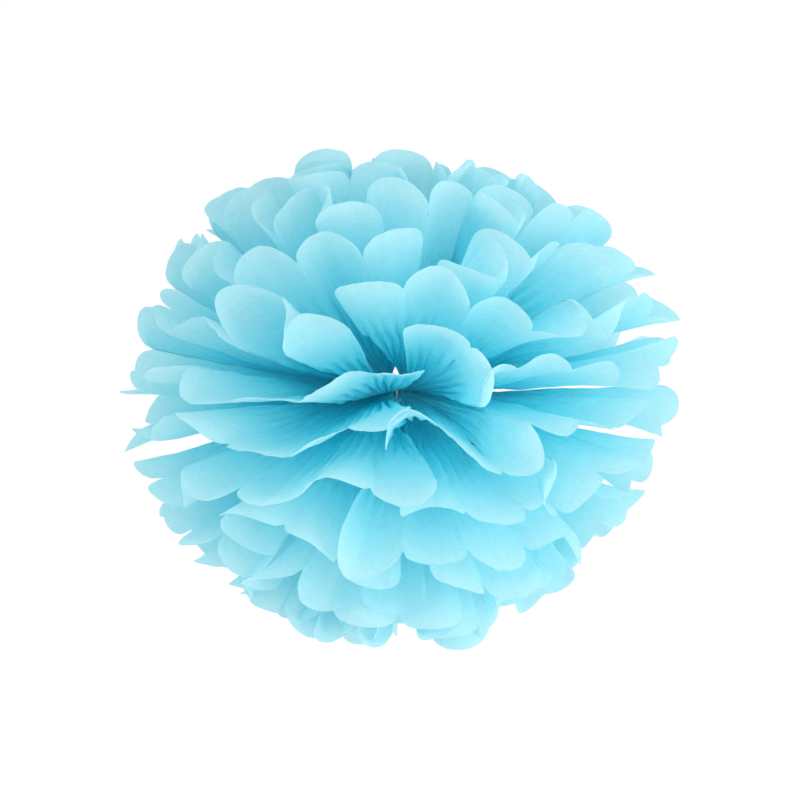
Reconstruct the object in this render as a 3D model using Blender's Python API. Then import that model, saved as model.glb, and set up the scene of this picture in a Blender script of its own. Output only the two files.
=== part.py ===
"""A hanging tissue paper pom pom, about 350 mm wide.

Ten sheets of tissue are stacked, pleated together like an accordion, cut round at both ends and
bound at the middle with a soft wire. Each end is then fanned out to just over half a turn, and
the sheets are pulled up and down one by one until their petals fill a ball.

Frame: +Z up, the origin at the middle of the binding. The strip ran along X, so the two fans
open towards +X and -X, and their outer petals slip between each other at the front and back.
"""

import math

import bmesh
import bpy
import numpy as np
from mathutils import Vector

# The cut sheets
SHEETS = 10
SHEET_WIDTH = 0.660  # across the pleats
HALF_LENGTH = 0.175  # from the middle of the binding to a petal's tip
PANELS = 15  # flat stretches between the folds, one petal each way
PETAL_ROUND = 0.015  # how far a petal's round end stands past the fold lines
PAPER = 0.0003  # as thick as a solid sheet has to be here; real tissue is thinner

# The bundle inside the binding
NECK_WIDTH = 0.012
NECK_REACH = 0.0025  # the sheets run straight this far before they fan out
NECK_PITCH = 0.0012  # from one sheet to the next

# The opened ball
FAN = math.radians(200)  # the angle that each end is fanned out to
LOWEST = math.radians(-76)  # the lowest sheet's slope
HIGHEST = math.radians(74)
STAGGER = math.radians(4)  # a sheet stands this much higher on one side, lower on the other
PLEATS_OPEN = 0.140  # the pleats are crushed flat at the binding and whole this far out
OWN_SIDE = 0.05  # near the binding each fold leans at least this much to its own side
LIFT = 0.30  # petals leave the binding this much more level than they end
SQUASH = 0.89  # the ball's height as a share of its width
SWAY = 0.05  # how far the whole ball is out of true, as a share of its radius

# How the folds spread over the ball when it is pulled open
UNEVEN = math.radians(7.5)  # how far one fold is pulled from its row by chance
ROOM = 0.20  # petals nearer than this share of the radius push each other away
PUSH = 0.25  # how much of a gap's shortfall one round makes up
RETURN = 0.02  # how much of the way back to its row a fold goes in one round
LONGEST_MOVE = 0.02
ROUNDS = 160
SEED = 3

# The grid that a sheet is bent from
COLUMNS_PER_PANEL = 3
RINGS = (NECK_REACH, 0.045, 0.110, HALF_LENGTH)  # distances from the middle, each side

# The binding
WIRE = 0.0010
LOOP_RADIUS = 0.0083
LOOP_SQUARENESS = 4  # 2 would be a circle
TAIL_TURNS = 2
TAIL_LENGTH = 0.008
STRAND_GAP = 0.0003


def clear_scene():
    for obj in list(bpy.data.objects):
        bpy.data.objects.remove(obj)


def material(name, colour, roughness, metallic):
    mat = bpy.data.materials.new(name)
    mat.use_nodes = True
    shader = mat.node_tree.nodes["Principled BSDF"]
    shader.inputs["Base Color"].default_value = (*colour, 1)
    shader.inputs["Roughness"].default_value = roughness
    shader.inputs["Metallic"].default_value = metallic
    return mat


def add_object(name, data, mat, collection):
    obj = bpy.data.objects.new(name, data)
    data.materials.append(mat)
    collection.objects.link(obj)
    return obj


def fold_directions():
    """The way every fold points, as unit vectors [sheet, side, fold]. Neighbours push each other
    away over the ball, and the paper between two folds of one sheet keeps its width."""
    draw = np.random.default_rng(SEED)
    shape = (SHEETS, 2, PANELS + 1)
    row = np.arange(SHEETS)[:, None, None]
    side = np.array([-1, 1])[None, :, None]
    fold = np.arange(PANELS + 1)[None, None, :]
    chord = SHEET_WIDTH / PANELS / HALF_LENGTH
    middle = LOWEST + (HIGHEST - LOWEST) * row / (SHEETS - 1)
    middle = middle + side * STAGGER * np.cos(middle)
    turn_step = FAN / PANELS * np.cos(middle)
    pleat = np.sqrt(np.maximum((2 * math.asin(chord / 2)) ** 2 - turn_step**2, 0)) / 2
    slope = middle + pleat * (-1.0) ** fold + draw.normal(0, UNEVEN, shape)
    even_turn = (fold / PANELS - 0.5) * FAN
    turn = even_turn + draw.normal(0, UNEVEN / 2, shape)

    def towards(slope, turn):
        level = np.cos(slope)
        return np.stack([side * level * np.cos(turn), level * np.sin(turn), np.sin(slope)], -1)

    flat = middle + draw.normal(0, UNEVEN, shape)
    home = towards(flat, even_turn + 0 * flat)
    folds = towards(slope, turn)
    spots_per_rim = 2 * PANELS + 1
    rim_of = np.repeat(np.arange(SHEETS * 2), spots_per_rim)
    place = np.tile(np.arange(spots_per_rim), SHEETS * 2)
    strangers = rim_of[:, None] != rim_of[None, :]
    strangers |= abs(place[:, None] - place[None, :]) > 3
    for _ in range(ROUNDS):
        rim = np.empty((SHEETS, 2, spots_per_rim, 3))
        rim[:, :, 0::2] = folds
        rim[:, :, 1::2] = (folds[:, :, :-1] + folds[:, :, 1:]) / 2
        spots = rim.reshape(-1, 3)
        apart = spots[:, None] - spots[None, :]
        distance = np.linalg.norm(apart, axis=-1) + 1e-9
        push = np.where(strangers, np.maximum(ROOM - distance, 0) / distance, 0)
        push = (apart * push[..., None]).sum(1).reshape(rim.shape) * PUSH
        move = push[:, :, 0::2].copy()
        move[:, :, :-1] += push[:, :, 1::2] / 2
        move[:, :, 1:] += push[:, :, 1::2] / 2
        folds = folds + np.clip(move, -LONGEST_MOVE, LONGEST_MOVE) + (home - folds) * RETURN
        keep_widths(folds, chord)
    return folds


def keep_widths(folds, chord):
    """Brings every fold of a rim back to one panel's width from the next, on the unit ball."""
    for _ in range(8):
        edge = folds[:, :, 1:] - folds[:, :, :-1]
        length = np.linalg.norm(edge, axis=-1, keepdims=True)
        mend = edge * (1 - chord / length) * 0.45
        folds[:, :, :-1] += mend
        folds[:, :, 1:] -= mend
        folds /= np.linalg.norm(folds, axis=-1, keepdims=True)


def smooth_step(value):
    """0 at 0, 1 at 1 and a soft S between them."""
    share = min(max(value, 0), 1)
    return share * share * (3 - 2 * share)


def shaped(point, reached):
    """Where a point of the true ball goes: petals rise as they go out, the ball is a little
    flat, and it is out of true the way handling leaves it."""
    length = max(point.length, 0.001)
    rise = 1 - LIFT * (1 - smooth_step(length / HALF_LENGTH))
    point = Vector((point.x, point.y, point.z * SQUASH * rise))
    x, y, z = point / length
    sway = Vector(
        (
            math.sin(3.1 * y + 1.7 * z + 0.6),
            math.sin(2.7 * z + 1.9 * x + 2.0),
            math.sin(2.9 * x + 2.3 * y + 4.1),
        )
    )
    return point + sway * (SWAY * length * reached)


def folded(panels_along, distance, side, sheet, through, folds):
    """Where a point of a flat sheet lies in the ball."""
    share = panels_along / PANELS - 0.5
    height = (sheet - (SHEETS - 1) / 2) * NECK_PITCH
    root = Vector((side * min(distance, NECK_REACH), share * NECK_WIDTH, height))
    out = distance - NECK_REACH
    if out <= 0:
        return root + Vector((0, 0, through))
    panel = min(int(panels_along), PANELS - 1)
    opened = smooth_step(out / PLEATS_OPEN)
    left, right = (fold_aim(folds, fold, side, opened) for fold in (panel, panel + 1))
    aim = left.lerp(right, panels_along - panel)
    point = shaped(root + aim * out, out / HALF_LENGTH)
    return point + upward(panels_along, side, folds) * through


def fold_aim(folds, fold, side, opened):
    """The way a fold points. Near the binding it is evened out with the folds next to it and
    keeps to its own side; further out it has its own direction."""
    around = folds[max(fold - 1, 0)] + 2 * folds[fold] + folds[min(fold + 1, PANELS)]
    even = Vector(around / 4)
    even.x = side * max(side * even.x, OWN_SIDE)
    return even.lerp(Vector(folds[fold]), opened)


def upward(panels_along, side, folds):
    """The upper face's normal, halfway between the two panels' where they meet in a fold."""
    panel = min(int(panels_along), PANELS - 1)
    panels = {panel, max(panel - 1, 0)} if panels_along == panel else {panel}
    faces = [Vector(folds[p]).cross(Vector(folds[p + 1])).normalized() for p in panels]
    return (sum(faces, Vector()) * side).normalized()


def petal_reach(panels_along):
    """How far the paper reaches from the binding, round-ended between the folds."""
    across = 2 * (panels_along % 1) - 1
    return 1 - PETAL_ROUND / HALF_LENGTH * (1 - math.sqrt(1 - across**2))


def tissue_sheet(sheet, folds):
    """One sheet: a flat slab of paper, bent point by point into its two fans of pleats."""
    columns = PANELS * COLUMNS_PER_PANEL
    rings = [-ring for ring in reversed(RINGS)] + list(RINGS)
    bm = bmesh.new()
    bmesh.ops.create_grid(bm, x_segments=columns, y_segments=len(rings) - 1, size=0.5)
    bmesh.ops.solidify(bm, geom=bm.faces[:], thickness=PAPER)
    bmesh.ops.recalc_face_normals(bm, faces=bm.faces[:])
    middle = sum(v.co.z for v in bm.verts) / len(bm.verts)
    for vert in bm.verts:
        panels_along = round((vert.co.x + 0.5) * columns) / COLUMNS_PER_PANEL
        ring = rings[round((vert.co.y + 0.5) * (len(rings) - 1))]
        side = 1 if ring > 0 else -1
        distance = abs(ring)
        if distance == HALF_LENGTH:
            distance *= petal_reach(panels_along)
        through = PAPER / 2 if vert.co.z > middle else -PAPER / 2
        side_folds = folds[sheet][0 if side < 0 else 1]
        vert.co = folded(panels_along, distance, side, sheet, through, side_folds)
    # The bend takes the sheet's two directions to Y and X, which turns its faces inwards.
    bmesh.ops.reverse_faces(bm, faces=bm.faces[:])
    mesh = bpy.data.meshes.new(f"tissue_sheet_{sheet + 1:02d}")
    bm.to_mesh(mesh)
    bm.free()
    mesh.shade_smooth()
    mesh.set_sharp_from_angle(angle=math.radians(35))
    return mesh


def loop_point(angle):
    """A point of the wire's loop round the bundle, in the plane x = 0; angle 0 is the back."""
    power = 2 / LOOP_SQUARENESS
    across, up = math.cos(angle), math.sin(angle)
    return Vector(
        (
            0,
            math.copysign(abs(across) ** power, across) * LOOP_RADIUS,
            math.copysign(abs(up) ** power, up) * LOOP_RADIUS,
        )
    )


def strand(turns, phase):
    """A point of one twisted end, from the loop outwards."""
    swing = (WIRE + STRAND_GAP) / 2
    angle = 2 * math.pi * turns + phase
    back = LOOP_RADIUS + WIRE + TAIL_LENGTH * turns / TAIL_TURNS
    return Vector((swing * math.sin(angle), back, swing * math.cos(angle)))


def wire_tie():
    """One wire: its first twisted end, round the bundle, and its second twisted end."""
    loop_steps = 36
    tail_steps = 12 * TAIL_TURNS
    opening = math.radians(14)
    first = [strand(TAIL_TURNS * (1 - i / tail_steps), 0) for i in range(tail_steps + 1)]
    angles = [
        opening + (2 * math.pi - 2 * opening) * i / loop_steps
        for i in range(loop_steps + 1)
    ]
    second = [strand(TAIL_TURNS * i / tail_steps, math.pi) for i in range(tail_steps + 1)]
    points = first + [loop_point(angle) for angle in angles] + second
    curve = bpy.data.curves.new("wire_tie", "CURVE")
    curve.dimensions = "3D"
    curve.bevel_depth = WIRE / 2
    curve.bevel_resolution = 2
    curve.use_fill_caps = True
    spline = curve.splines.new("POLY")
    spline.points.add(len(points) - 1)
    for place, point in zip(spline.points, points):
        place.co = (*point, 1)
    return curve


def build():
    clear_scene()
    collection = bpy.data.collections.new("tissue_paper_pom_pom")
    bpy.context.scene.collection.children.link(collection)
    tissue = material("tissue_paper", (0.24, 0.71, 0.87), 0.9, 0)
    steel = material("binding_wire", (0.55, 0.55, 0.53), 0.35, 1)
    folds = fold_directions()
    for sheet in range(SHEETS):
        mesh = tissue_sheet(sheet, folds)
        add_object(mesh.name, mesh, tissue, collection)
    add_object("wire_tie", wire_tie(), steel, collection)


build()
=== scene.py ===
"""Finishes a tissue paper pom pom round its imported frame: ten thin pleated sheets, the wire that
binds them, soft light and a pale backdrop. Laid out as an add-on, run as a script."""

import math

import bmesh
import bpy
import numpy as np
from bpy.props import FloatProperty, FloatVectorProperty, IntProperty, PointerProperty
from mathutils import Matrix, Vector


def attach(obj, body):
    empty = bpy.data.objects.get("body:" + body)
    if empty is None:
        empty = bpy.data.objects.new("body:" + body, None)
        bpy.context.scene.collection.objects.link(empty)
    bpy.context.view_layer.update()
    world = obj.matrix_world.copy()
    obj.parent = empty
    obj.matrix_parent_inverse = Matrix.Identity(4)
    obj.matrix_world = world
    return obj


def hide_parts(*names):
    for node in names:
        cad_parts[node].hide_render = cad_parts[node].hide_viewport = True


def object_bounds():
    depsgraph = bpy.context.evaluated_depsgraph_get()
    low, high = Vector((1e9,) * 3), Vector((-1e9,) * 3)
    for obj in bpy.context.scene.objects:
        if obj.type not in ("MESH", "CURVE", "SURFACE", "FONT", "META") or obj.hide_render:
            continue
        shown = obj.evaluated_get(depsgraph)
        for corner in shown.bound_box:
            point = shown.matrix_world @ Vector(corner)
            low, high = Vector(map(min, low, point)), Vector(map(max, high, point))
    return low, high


bl_info = {
    "name": "Tissue Paper Pom Pom",
    "version": (1, 0, 0),
    "blender": (4, 5, 0),
    "location": "3D View > Sidebar > Pom Pom",
    "description": "Makes the pleated tissue sheets, the binding and the stage of a pom pom",
    "category": "Add Mesh",
}

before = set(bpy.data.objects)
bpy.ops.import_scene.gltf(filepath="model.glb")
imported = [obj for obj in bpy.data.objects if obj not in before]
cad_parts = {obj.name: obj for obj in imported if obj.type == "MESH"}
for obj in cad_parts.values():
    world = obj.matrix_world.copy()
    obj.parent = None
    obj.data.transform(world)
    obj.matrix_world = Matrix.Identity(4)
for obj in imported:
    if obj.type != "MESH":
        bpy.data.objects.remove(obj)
CAD_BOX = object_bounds()
SHEET_NODES = sorted(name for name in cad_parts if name.startswith("tissue_sheet"))
WIRE_NODE = "wire_tie"
SHEET_COUNT = len(SHEET_NODES)

SHEET_WIDTH = 0.660
SHEET_LENGTH = 0.350
PETAL_ROUND = 0.015  # how far a petal's round end stands past the fold lines
MM = 0.001
CLOUD_MM = 7.0
FIBRE_MM = 1.1  # tissue fibres are finer than this, which is as fine as shows
RIB_MM = 2.6
BUMP_MM = 0.7
FOLD_MARK = 0.05  # how much of half a panel a fold's worn line takes


# --- Helpers ---------------------------------------------------------------------------------


def linear(hex_colour):
    """An sRGB colour such as 7FDCF0 as the linear values that shaders take."""
    channels = [int(hex_colour[i : i + 2], 16) / 255 for i in (0, 2, 4)]
    return tuple(
        c / 12.92 if c <= 0.04045 else ((c + 0.055) / 1.055) ** 2.4 for c in channels
    )


def add_node(tree, kind, settings=None, links=None):
    """Adds a node, sets its properties, and fills its inputs with values or with links."""
    node = tree.nodes.new(kind)
    for name, value in (settings or {}).items():
        setattr(node, name, value)
    for socket, value in (links or {}).items():
        if isinstance(value, Field):
            value = value.socket
        if isinstance(value, bpy.types.NodeSocket):
            tree.links.new(value, node.inputs[socket])
        else:
            node.inputs[socket].default_value = value
    return node


class Field:
    """A node's output that plain arithmetic can be written with, one Math node for each step."""

    def __init__(self, socket):
        self.socket = socket

    def __add__(self, other):
        return calculate("ADD", self, other)

    def __radd__(self, other):
        return calculate("ADD", other, self)

    def __sub__(self, other):
        return calculate("SUBTRACT", self, other)

    def __rsub__(self, other):
        return calculate("SUBTRACT", other, self)

    def __mul__(self, other):
        return calculate("MULTIPLY", self, other)

    def __rmul__(self, other):
        return calculate("MULTIPLY", other, self)

    def __truediv__(self, other):
        return calculate("DIVIDE", self, other)

    def __rtruediv__(self, other):
        return calculate("DIVIDE", other, self)

    def __pow__(self, other):
        return calculate("POWER", self, other)

    def __neg__(self):
        return calculate("MULTIPLY", self, -1)


def calculate(operation, *values):
    """The result of a Math node, or of a Vector Math node where one of the values is a vector."""
    fields = [value.socket for value in values if isinstance(value, Field)]
    tree = fields[0].id_data
    if any(socket.type in ("VECTOR", "RGBA") for socket in fields):
        values = [v if isinstance(v, Field) else (v, v, v) for v in values]
        node = add_node(
            tree, "ShaderNodeVectorMath", {"operation": operation}, dict(enumerate(values))
        )
        measured = operation in ("LENGTH", "DOT_PRODUCT")
        return Field(node.outputs["Value" if measured else "Vector"])
    node = add_node(tree, "ShaderNodeMath", {"operation": operation}, dict(enumerate(values)))
    return Field(node.outputs[0])


def vector_parts(vector):
    node = add_node(vector.socket.id_data, "ShaderNodeSeparateXYZ", links={0: vector})
    return [Field(output) for output in node.outputs]


def vector_of(x, y, z):
    tree = next(value.socket.id_data for value in (x, y, z) if isinstance(value, Field))
    return Field(add_node(tree, "ShaderNodeCombineXYZ", links={0: x, 1: y, 2: z}).outputs[0])


def noise_of(vector, output="Fac", detail=1.0):
    """Soft noise from 0 to 1, with about one swell for each unit of the vector."""
    node = add_node(
        vector.socket.id_data,
        "ShaderNodeTexNoise",
        links={"Vector": vector, "Scale": 1.0, "Detail": detail, "Roughness": 0.4},
    )
    return Field(node.outputs[output])


def smooth_step(value, low, high):
    """0 below low, 1 above high and a soft S between them."""
    share = calculate("MINIMUM", calculate("MAXIMUM", (value - low) / (high - low), 0), 1)
    return share * share * (3 - 2 * share)


def chance(number, seed, spread):
    """A random value within plus or minus spread, the same for the same number and seed."""
    node = add_node(
        number.socket.id_data,
        "FunctionNodeRandomValue",
        {"data_type": "FLOAT"},
        {"Min": -1.0, "Max": 1.0, "ID": number, "Seed": seed},
    )
    return Field(next(o for o in node.outputs if o.enabled)) * spread


# --- How the folds spread over the ball ---------------------------------------------------------


def fold_directions(pleats):
    """The way every fold points, as unit vectors [sheet, side, fold]. Pulling the sheets apart
    spreads their folds over the ball: neighbours push each other away, and the paper between
    two folds of one sheet keeps its width."""
    draw = np.random.default_rng(pleats.seed)
    row = np.arange(SHEET_COUNT)[:, None, None]
    side = np.array([-1, 1])[None, :, None]
    fold = np.arange(pleats.panels + 1)[None, None, :]
    chord = SHEET_WIDTH / pleats.panels / (SHEET_LENGTH / 2)
    step = 2 * math.asin(chord / 2)
    middle = pleats.lowest + (pleats.highest - pleats.lowest) * row / (SHEET_COUNT - 1)
    middle = middle + side * pleats.stagger * np.cos(middle)
    turn_step = pleats.fan / pleats.panels * np.cos(middle)
    depth = np.sqrt(np.maximum(step**2 - turn_step**2, 0)) / 2
    shape = (SHEET_COUNT, 2, pleats.panels + 1)
    slope = middle + depth * (-1.0) ** fold + draw.normal(0, pleats.uneven, shape)
    turn = (fold / pleats.panels - 0.5) * pleats.fan + draw.normal(0, pleats.uneven / 2, shape)

    def towards(slope, turn):
        level = np.cos(slope)
        return np.stack([side * level * np.cos(turn), level * np.sin(turn), np.sin(slope)], -1)

    flat = middle + draw.normal(0, pleats.uneven, shape)
    home = towards(flat, (fold / pleats.panels - 0.5) * pleats.fan + 0 * flat)
    folds = towards(slope, turn)
    points = 2 * pleats.panels + 1
    chain = np.repeat(np.arange(SHEET_COUNT * 2), points)
    place = np.tile(np.arange(points), SHEET_COUNT * 2)
    strangers = chain[:, None] != chain[None, :]
    strangers |= abs(place[:, None] - place[None, :]) > 3
    for _ in range(pleats.rounds):
        middles = (folds[:, :, :-1] + folds[:, :, 1:]) / 2
        rim = np.empty((SHEET_COUNT, 2, points, 3))
        rim[:, :, 0::2] = folds
        rim[:, :, 1::2] = middles
        spots = rim.reshape(-1, 3)
        apart = spots[:, None] - spots[None, :]
        distance = np.linalg.norm(apart, axis=-1) + 1e-9
        push = np.where(strangers, np.maximum(pleats.room - distance, 0) / distance, 0)
        push = (apart * push[..., None]).sum(1).reshape(rim.shape) * 0.25
        move = push[:, :, 0::2].copy()
        move[:, :, :-1] += push[:, :, 1::2] / 2
        move[:, :, 1:] += push[:, :, 1::2] / 2
        folds = folds + np.clip(move, -0.02, 0.02) + (home - folds) * 0.02
        for _ in range(8):
            edge = folds[:, :, 1:] - folds[:, :, :-1]
            length = np.linalg.norm(edge, axis=-1, keepdims=True)
            mend = edge * (1 - chord / length) * 0.45
            folds[:, :, :-1] += mend
            folds[:, :, 1:] -= mend
            folds /= np.linalg.norm(folds, axis=-1, keepdims=True)
    return folds


# --- The pleated sheet -----------------------------------------------------------------------

SHEET_INPUTS = {
    "Panels": ("NodeSocketInt", 15),
    "Columns": ("NodeSocketInt", 15 * 22 + 1),
    "Rows": ("NodeSocketInt", 91),
    "Half Length": ("NodeSocketFloat", SHEET_LENGTH / 2),
    "Petal Round": ("NodeSocketFloat", PETAL_ROUND),
    "Trim": ("NodeSocketFloat", 0.012),
    "Neck Width": ("NodeSocketFloat", 0.012),
    "Neck Reach": ("NodeSocketFloat", 0.0025),
    "Pleats Open": ("NodeSocketFloat", 0.140),
    "Own Side": ("NodeSocketFloat", 0.05),
    "Neck Height": ("NodeSocketFloat", 0.0),
    "Opening": ("NodeSocketFloat", 0.45),
    "Spoon": ("NodeSocketFloat", 0.008),
    "Curl": ("NodeSocketFloat", 0.020),
    "Gather": ("NodeSocketFloat", 0.042),
    "Gathers": ("NodeSocketFloat", 4.0),
    "Crease": ("NodeSocketFloat", 0.0011),
    "Crumple": ("NodeSocketFloat", 0.0012),
    "Lift": ("NodeSocketFloat", 0.30),
    "Squash": ("NodeSocketFloat", 0.89),
    "Sway": ("NodeSocketFloat", 0.05),
    "Seed": ("NodeSocketInt", 0),
    "Paper": ("NodeSocketMaterial", None),
}


def pleated_sheet_tree():
    """Geometry Nodes for one sheet. The geometry that comes in is one point for each fold's
    direction, first those on one side of the binding and then those on the other. A flat grid
    of paper is carried to where the pleats, the fan and the pulling apart leave it."""
    tree = bpy.data.node_groups.new("pleated sheet", "GeometryNodeTree")
    tree.interface.new_socket("Folds", in_out="INPUT", socket_type="NodeSocketGeometry")
    for name, (kind, default) in SHEET_INPUTS.items():
        socket = tree.interface.new_socket(name, in_out="INPUT", socket_type=kind)
        if default is not None:
            socket.default_value = default
    tree.interface.new_socket("Sheet", in_out="OUTPUT", socket_type="NodeSocketGeometry")
    given = add_node(tree, "NodeGroupInput")
    need = {name: Field(given.outputs[name]) for name in SHEET_INPUTS}

    grid = add_node(
        tree,
        "GeometryNodeMeshGrid",
        links={0: 1.0, 1: 1.0, 2: need["Columns"], 3: need["Rows"]},
    )
    here = Field(add_node(tree, "GeometryNodeInputPosition").outputs[0])
    x, y, _ = vector_parts(here)

    # Flat paper: which panel, how far across it, and how far from the binding along the paper.
    across = (x + 0.5) * need["Panels"]
    panel = calculate("MINIMUM", calculate("FLOOR", across), need["Panels"] - 1)
    within = across - panel
    off_middle = calculate("MINIMUM", calculate("ABSOLUTE", within * 2 - 1), 1)
    dome = 1 - off_middle * off_middle
    side = calculate("SIGN", y)
    far_side = calculate("GREATER_THAN", y, 0)
    share = across / need["Panels"] - 0.5
    number = panel + side * 50
    round_end = 1 - calculate("SQRT", calculate("MAXIMUM", dome, 0))
    reach = need["Half Length"] - need["Petal Round"] * round_end
    reach = reach + chance(number, need["Seed"] + 5, 0.5) * need["Trim"] * dome
    along = calculate("ABSOLUTE", y) * 2 * reach
    out = calculate("MAXIMUM", along - need["Neck Reach"], 0)
    reached = out / need["Half Length"]

    # The folds on both sides of the panel, and the next ones, for a soft curve through them.
    first = far_side * (need["Panels"] + 1)
    last = first + need["Panels"]

    def fold(offset):
        index = first + panel + offset
        index = calculate("MINIMUM", calculate("MAXIMUM", index, first), last)
        sample = add_node(
            tree,
            "GeometryNodeSampleIndex",
            {"data_type": "FLOAT_VECTOR", "domain": "POINT"},
            {"Geometry": given.outputs["Folds"], "Value": here, "Index": index},
        )
        return Field(next(o for o in sample.outputs if o.enabled))

    before, left, right, after = (fold(offset) for offset in (-1, 0, 1, 2))
    straight = left + (right - left) * within
    back = 1 - within
    leave = left + (right - before) / 6
    arrive = right - (after - left) / 6
    soft = (
        left * (back * back * back)
        + leave * (3 * back * back * within)
        + arrive * (3 * back * within * within)
        + right * (within * within * within)
    )
    opening = need["Opening"] * smooth_step(reached, 0.3, 1.0)
    own = straight + (soft - straight) * opening

    def even(one, two, three):
        """A fold evened out with the ones beside it, and kept to its own side."""
        ex, ey, ez = vector_parts((one + two * 2 + three) / 4)
        return vector_of(side * calculate("MAXIMUM", side * ex, need["Own Side"]), ey, ez)

    even_left = even(before, left, right)
    level = even_left + (even(left, right, after) - even_left) * within
    aim = level + (own - level) * smooth_step(out / need["Pleats Open"], 0.0, 1.0)
    face = calculate("NORMALIZE", calculate("CROSS_PRODUCT", left, right))

    # Each petal bulges like a spoon and curls at its tip; near the binding the paper is gathered.
    spoon = chance(number, need["Seed"] + 11, 1.0) * need["Spoon"] * dome
    spoon = spoon * smooth_step(reached, 0.3, 0.9)
    curl = chance(number, need["Seed"] + 17, 1.0) * need["Curl"] * reached**5 * dome
    paper_at = vector_of(x * SHEET_WIDTH, y * SHEET_LENGTH, need["Seed"] * 0.37)
    wander = noise_of(paper_at * (1 / 0.030)) - 0.5
    gathers = calculate("SINE", (across * need["Gathers"] + wander * 1.3) * (2 * math.pi))
    gathers = gathers * need["Gather"] * out * (1 - smooth_step(out, 0.08, 0.14))
    lengthwise = calculate("MULTIPLY", paper_at, vector_of(number * 0 + 1, 0.08, 1))
    creases = (noise_of(lengthwise * (1 / 0.006)) - 0.5) * 2 * need["Crease"]
    crumples = (noise_of(paper_at * (1 / 0.016)) - 0.5) * 2 * need["Crumple"]
    dents = (creases + crumples) * smooth_step(reached, 0.15, 0.5)
    bundle = calculate("MINIMUM", along, need["Neck Reach"])
    root = vector_of(side * bundle, share * need["Neck Width"], need["Neck Height"])
    place = root + aim * out + face * (spoon + curl + gathers + dents)

    # The petals leave the binding level and rise as they go, and the ball is a little flat.
    length = calculate("MAXIMUM", calculate("LENGTH", place), 0.001)
    px, py, pz = vector_parts(place)
    risen = smooth_step(length / need["Half Length"], 0.0, 1.0)
    pz = pz * need["Squash"] * (1 - need["Lift"] * (1 - risen))
    place = vector_of(px, py, pz)

    # Handling leaves the whole ball a little uneven, and all its sheets follow together.
    dx, dy, dz = vector_parts(place / length)
    sway = vector_of(
        calculate("SINE", dy * 3.1 + dz * 1.7 + 0.6),
        calculate("SINE", dz * 2.7 + dx * 1.9 + 2.0),
        calculate("SINE", dx * 2.9 + dy * 2.3 + 4.1),
    )
    place = place + sway * (need["Sway"] * length * reached)

    # The marks are made on the flat paper, before it moves.
    marked = grid.outputs["Mesh"]
    flat = vector_of(x * SHEET_WIDTH, y * SHEET_LENGTH, 0.0)
    for name, kind, domain, value in (
        ("reached", "FLOAT", "POINT", reached),
        ("off_fold", "FLOAT", "POINT", 1 - off_middle),
        ("paper", "FLOAT2", "CORNER", flat),
    ):
        marked = add_node(
            tree,
            "GeometryNodeStoreNamedAttribute",
            {"data_type": kind, "domain": domain},
            {"Geometry": marked, "Name": name, "Value": value},
        ).outputs[0]
    moved = add_node(
        tree, "GeometryNodeSetPosition", links={"Geometry": marked, "Position": place}
    )
    smooth = add_node(tree, "GeometryNodeSetShadeSmooth", links={"Geometry": moved.outputs[0]})
    whole = add_node(tree, "GeometryNodeRealizeInstances", links={0: smooth.outputs[0]})
    paper = add_node(
        tree,
        "GeometryNodeSetMaterial",
        links={"Geometry": whole.outputs[0], "Material": need["Paper"]},
    )
    result = add_node(tree, "NodeGroupOutput")
    tree.links.new(paper.outputs[0], result.inputs[0])
    return tree


def grow(name, tree, points, values):
    """Runs a Geometry Nodes tree on these points with these named inputs, and keeps the result
    as a plain mesh."""
    start = bpy.data.meshes.new(name + "_start")
    start.from_pydata([tuple(point) for point in points], [], [])
    carrier = bpy.data.objects.new(name + "_start", start)
    bpy.context.scene.collection.objects.link(carrier)
    modifier = carrier.modifiers.new("grow", "NODES")
    modifier.node_group = tree
    sockets = {
        item.name: item.identifier
        for item in tree.interface.items_tree
        if item.item_type == "SOCKET" and item.in_out == "INPUT"
    }
    for key, value in values.items():
        modifier[sockets[key]] = value
    graph = bpy.context.evaluated_depsgraph_get()
    mesh = bpy.data.meshes.new_from_object(carrier.evaluated_get(graph))
    bpy.data.objects.remove(carrier)
    mesh.name = name
    piece = bpy.data.objects.new(name, mesh)
    bpy.context.scene.collection.objects.link(piece)
    return piece


# --- Materials -------------------------------------------------------------------------------


def new_material(name):
    mat = bpy.data.materials.new(name)
    mat.use_nodes = True
    mat.node_tree.nodes.clear()
    return mat, mat.node_tree


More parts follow.
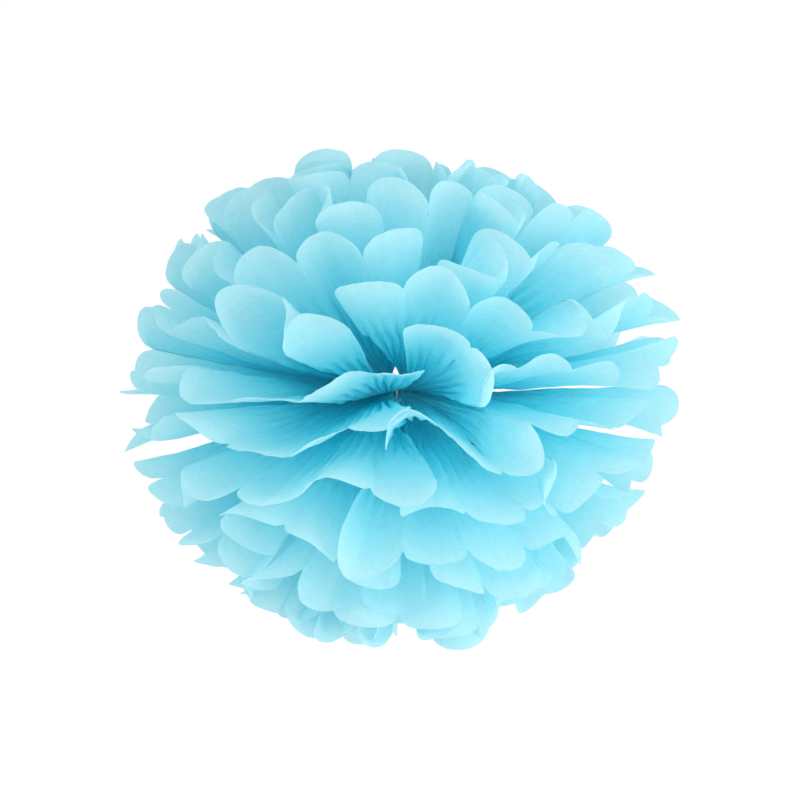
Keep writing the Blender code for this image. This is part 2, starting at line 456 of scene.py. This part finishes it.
def tissue_paper(settings):
    """Dyed tissue paper, machine made and unglazed: matt, soft and thin enough that light from
    behind comes through it. The deep folds near the binding are painted a richer blue than the
    paler tips, a painted shade for the dim light deep in the folds, and the loose fibres of so
    thin a sheet show as clouds and specks."""
    mat, tree = new_material("dyed tissue paper")
    paper = Field(add_node(tree, "ShaderNodeUVMap", {"uv_map": "paper"}).outputs[0])
    reached = Field(
        add_node(tree, "ShaderNodeAttribute", {"attribute_name": "reached"}).outputs["Fac"]
    )
    off_fold = Field(
        add_node(tree, "ShaderNodeAttribute", {"attribute_name": "off_fold"}).outputs["Fac"]
    )
    clouds = noise_of(paper * (1 / (CLOUD_MM * MM)), detail=3.0) - 0.5
    stretched = calculate("MULTIPLY", paper, vector_of(clouds * 0 + 1, 0.45, 1.0))
    specks = noise_of(stretched * (1 / (FIBRE_MM * MM)), detail=2.0) - 0.5
    ribs = calculate("MULTIPLY", paper, vector_of(clouds * 0 + 1, 0.06, 1.0))
    ribs = noise_of(ribs * (1 / (RIB_MM * MM)), detail=2.0)

    # Painted shade: the deep folds near the binding get the deeper root colour, which gives way to
    # the paler tip colour towards the petals' ends.
    out_of_painted_shade = smooth_step(reached, 0.4, 1.0)
    tint = add_node(
        tree,
        "ShaderNodeMix",
        {"data_type": "RGBA"},
        {"Factor": out_of_painted_shade, 6: (*settings.root, 1), 7: (*settings.tip, 1)},
    )
    worn = 1 - smooth_step(off_fold, 0.0, FOLD_MARK)
    value = 1 + clouds * 0.10 + specks * 0.16 + worn * 0.05 * out_of_painted_shade
    colour = calculate("MULTIPLY", Field(tint.outputs[2]), value)
    colour = calculate("MINIMUM", colour, 0.99)
    height = clouds * 0.10 + specks * 0.22 + ribs * 0.30
    bump = add_node(
        tree,
        "ShaderNodeBump",
        links={"Height": height, "Distance": BUMP_MM * MM, "Strength": 0.8},
    )
    surface = add_node(
        tree,
        "ShaderNodeBsdfPrincipled",
        links={
            "Base Color": colour,
            "Roughness": settings.roughness,
            "Specular IOR Level": 0.15,
            "Normal": bump.outputs[0],
        },
    )
    through = add_node(
        tree, "ShaderNodeBsdfTranslucent", links={"Color": colour, "Normal": bump.outputs[0]}
    )
    thinness = settings.thinness + clouds * 0.10
    mix = add_node(
        tree,
        "ShaderNodeMixShader",
        links={0: thinness, 1: surface.outputs[0], 2: through.outputs[0]},
    )
    add_node(tree, "ShaderNodeOutputMaterial", links={0: mix.outputs[0]})
    return mat


def drawn_wire(settings):
    """Zinc-coated steel wire, drawn through a die: pale grey metal with fine streaks along it."""
    mat, tree = new_material("zinc-coated drawn steel wire")
    place = Field(add_node(tree, "ShaderNodeTexCoord").outputs["Object"])
    streaks = noise_of(place * (1 / (0.4 * MM)), detail=4.0)
    roughness = 0.28 + streaks * 0.2
    value = 0.85 + streaks * 0.3
    colour = calculate("MULTIPLY", value, 1.0)
    tint = add_node(
        tree,
        "ShaderNodeMix",
        {"data_type": "RGBA"},
        {"Factor": colour, 6: (0, 0, 0, 1), 7: (*settings.wire, 1)},
    )
    surface = add_node(
        tree,
        "ShaderNodeBsdfPrincipled",
        links={"Base Color": tint.outputs[2], "Roughness": roughness, "Metallic": 1.0},
    )
    add_node(tree, "ShaderNodeOutputMaterial", links={0: surface.outputs[0]})
    return mat


def painted_board(settings):
    """White board painted with a roller: plain and matt, with a faint stipple."""
    mat, tree = new_material("matt painted board")
    place = Field(add_node(tree, "ShaderNodeTexCoord").outputs["Object"])
    stipple = noise_of(place * (1 / (6 * MM)), detail=2.0) - 0.5
    tint = add_node(
        tree,
        "ShaderNodeMix",
        {"data_type": "RGBA"},
        {"Factor": 1 + stipple * 0.02, 6: (0, 0, 0, 1), 7: (*settings.backdrop, 1)},
    )
    surface = add_node(
        tree,
        "ShaderNodeBsdfPrincipled",
        links={"Base Color": tint.outputs[2], "Roughness": 0.9, "Specular IOR Level": 0.0},
    )
    add_node(tree, "ShaderNodeOutputMaterial", links={0: surface.outputs[0]})
    return mat


# --- Settings --------------------------------------------------------------------------------


class PaperSettings(bpy.types.PropertyGroup):
    tip: FloatVectorProperty(
        name="Petal Colour",
        description="The dyed paper at the petals' tips",
        subtype="COLOR",
        default=linear("C4F0F6"),
        min=0,
        max=1,
    )
    # Painted shade: the root colour is the shade deep in the folds near the binding, painted into
    # the paper's colour.
    root: FloatVectorProperty(
        name="Root Colour",
        description="The dyed paper deep in the folds, near the binding",
        subtype="COLOR",
        default=linear("8CF8FF"),
        min=0,
        max=1,
    )
    thinness: FloatProperty(
        name="Thinness",
        description="The share of the light that comes through a sheet",
        default=0.6,
        min=0,
        max=1,
        subtype="FACTOR",
    )
    roughness: FloatProperty(
        name="Roughness", description="How matt the paper is", default=0.85, min=0, max=1
    )


class PleatSettings(bpy.types.PropertyGroup):
    panels: IntProperty(name="Panels", description="Panels across a sheet", default=15)
    lowest: FloatProperty(
        name="Lowest Slope",
        description="The slope of the bottom sheet",
        default=math.radians(-76),
        subtype="ANGLE",
    )
    highest: FloatProperty(
        name="Highest Slope",
        description="The slope of the top sheet",
        default=math.radians(74),
        subtype="ANGLE",
    )
    stagger: FloatProperty(
        name="Stagger",
        description="How much higher a sheet is on one side than on the other",
        default=math.radians(4),
        subtype="ANGLE",
    )
    fan: FloatProperty(
        name="Fan",
        description="How far round the ball one side of a sheet is spread",
        default=math.radians(200),
        subtype="ANGLE",
    )
    uneven: FloatProperty(
        name="Uneven",
        description="How far a fold strays by chance",
        default=math.radians(7.5),
        subtype="ANGLE",
    )
    room: FloatProperty(
        name="Room",
        description="How far apart petals push each other, as a share of the ball's radius",
        default=0.20,
    )
    rounds: IntProperty(name="Rounds", description="Rounds of pushing apart", default=160)
    neck_pitch: FloatProperty(
        name="Bundle Pitch",
        description="From one sheet to the next inside the binding",
        default=0.0012,
        unit="LENGTH",
    )
    seed: IntProperty(name="Seed", description="Another seed gives other petals", default=3)


class BindingSettings(bpy.types.PropertyGroup):
    wire: FloatVectorProperty(
        name="Wire Colour",
        description="The zinc coat of the wire",
        subtype="COLOR",
        default=linear("C9CCCE"),
        min=0,
        max=1,
    )


class StageSettings(bpy.types.PropertyGroup):
    backdrop: FloatVectorProperty(
        name="Backdrop Colour",
        description="The floor and the wall behind",
        subtype="COLOR",
        default=linear("FFFFFF"),
    )


# --- Operators -------------------------------------------------------------------------------


class PomPomSheets(bpy.types.Operator):
    """Makes the pleated tissue sheets"""

    bl_idname = "pompom.sheets"
    bl_label = "Tissue Sheets"

    def execute(self, context):
        pleats = context.scene.pompom_pleats
        paper = tissue_paper(context.scene.pompom_paper)
        tree = pleated_sheet_tree()
        folds = fold_directions(pleats)
        for order, node in enumerate(SHEET_NODES):
            sheet = grow(
                "petals_" + node[-2:],
                tree,
                folds[order].reshape(-1, 3),
                {
                    "Neck Height": (order - (SHEET_COUNT - 1) / 2) * pleats.neck_pitch,
                    "Seed": pleats.seed + 100 * order,
                    "Paper": paper,
                },
            )
            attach(sheet, "root")
            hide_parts(node)
        return {"FINISHED"}


class PomPomBinding(bpy.types.Operator):
    """Gives the wire that binds the sheets its finish"""

    bl_idname = "pompom.binding"
    bl_label = "Wire Tie"

    def execute(self, context):
        wire = bpy.data.objects.get(WIRE_NODE)
        if wire is None:
            raise RuntimeError("the frame holds no wire tie")
        finish = drawn_wire(context.scene.pompom_binding)
        wire.data.materials.clear()
        wire.data.materials.append(finish)
        return {"FINISHED"}


class PomPomStage(bpy.types.Operator):
    """Makes the backdrop, the lights and the camera"""

    bl_idname = "pompom.stage"
    bl_label = "Stage"

    def execute(self, context):
        scene = context.scene
        scene.view_settings.view_transform = "Standard"
        scene.cycles.max_bounces = 28
        scene.cycles.diffuse_bounces = 28
        scene.cycles.transmission_bounces = 28
        floor = bpy.data.meshes.new("floor")
        shape = bmesh.new()
        bmesh.ops.create_circle(shape, cap_ends=True, radius=4.0, segments=64)
        bmesh.ops.translate(shape, verts=shape.verts, vec=(0, 0, CAD_BOX[0][2] - 0.45))
        shape.to_mesh(floor)
        shape.free()
        floor = bpy.data.objects.new("floor", floor)
        floor.data.materials.append(painted_board(context.scene.pompom_stage))
        scene.collection.objects.link(floor)
        world = bpy.data.worlds.new("soft white room")
        world.use_nodes = True
        scene.world = world
        world.node_tree.nodes["Background"].inputs["Color"].default_value = (1, 1, 1, 1)
        world.node_tree.nodes["Background"].inputs["Strength"].default_value = 1.0
        key = bpy.data.lights.new("key", "AREA")
        key.shape = "DISK"
        key.size = 1.2
        key.energy = 12
        lamp = bpy.data.objects.new("key", key)
        lamp.location = (1.3, -0.9, -0.1)
        lamp.rotation_euler = (-Vector(lamp.location)).to_track_quat("-Z", "Y").to_euler()
        scene.collection.objects.link(lamp)
        camera = bpy.data.cameras.new("camera")
        camera.lens = 100
        camera.sensor_width = 36
        eye = bpy.data.objects.new("camera", camera)
        tilt = math.radians(5)
        distance = 1.43
        middle = Vector((0.002, 0, -0.006))
        eye.location = middle + distance * Vector((0, -math.cos(tilt), math.sin(tilt)))
        eye.rotation_euler = (math.radians(90) - tilt, 0, 0)
        scene.collection.objects.link(eye)
        scene.camera = eye
        return {"FINISHED"}


class PomPomPanel(bpy.types.Panel):
    """Lists the steps"""

    bl_idname = "VIEW3D_PT_pompom"
    bl_label = "Tissue Paper Pom Pom"
    bl_space_type = "VIEW_3D"
    bl_region_type = "UI"
    bl_category = "Pom Pom"

    def draw(self, context):
        for operator in OPERATORS:
            self.layout.operator(operator.bl_idname)


SETTINGS = {
    "pompom_paper": PaperSettings,
    "pompom_pleats": PleatSettings,
    "pompom_binding": BindingSettings,
    "pompom_stage": StageSettings,
}
OPERATORS = (PomPomSheets, PomPomBinding, PomPomStage)


def register():
    for group in (*SETTINGS.values(), *OPERATORS, PomPomPanel):
        bpy.utils.register_class(group)
    for name, group in SETTINGS.items():
        setattr(bpy.types.Scene, name, PointerProperty(type=group))


def unregister():
    for name in SETTINGS:
        delattr(bpy.types.Scene, name)
    for group in reversed((*SETTINGS.values(), *OPERATORS, PomPomPanel)):
        bpy.utils.unregister_class(group)


def main():
    register()
    bpy.ops.pompom.sheets()
    bpy.ops.pompom.binding()
    bpy.ops.pompom.stage()


if __name__ == "__main__":
    main()
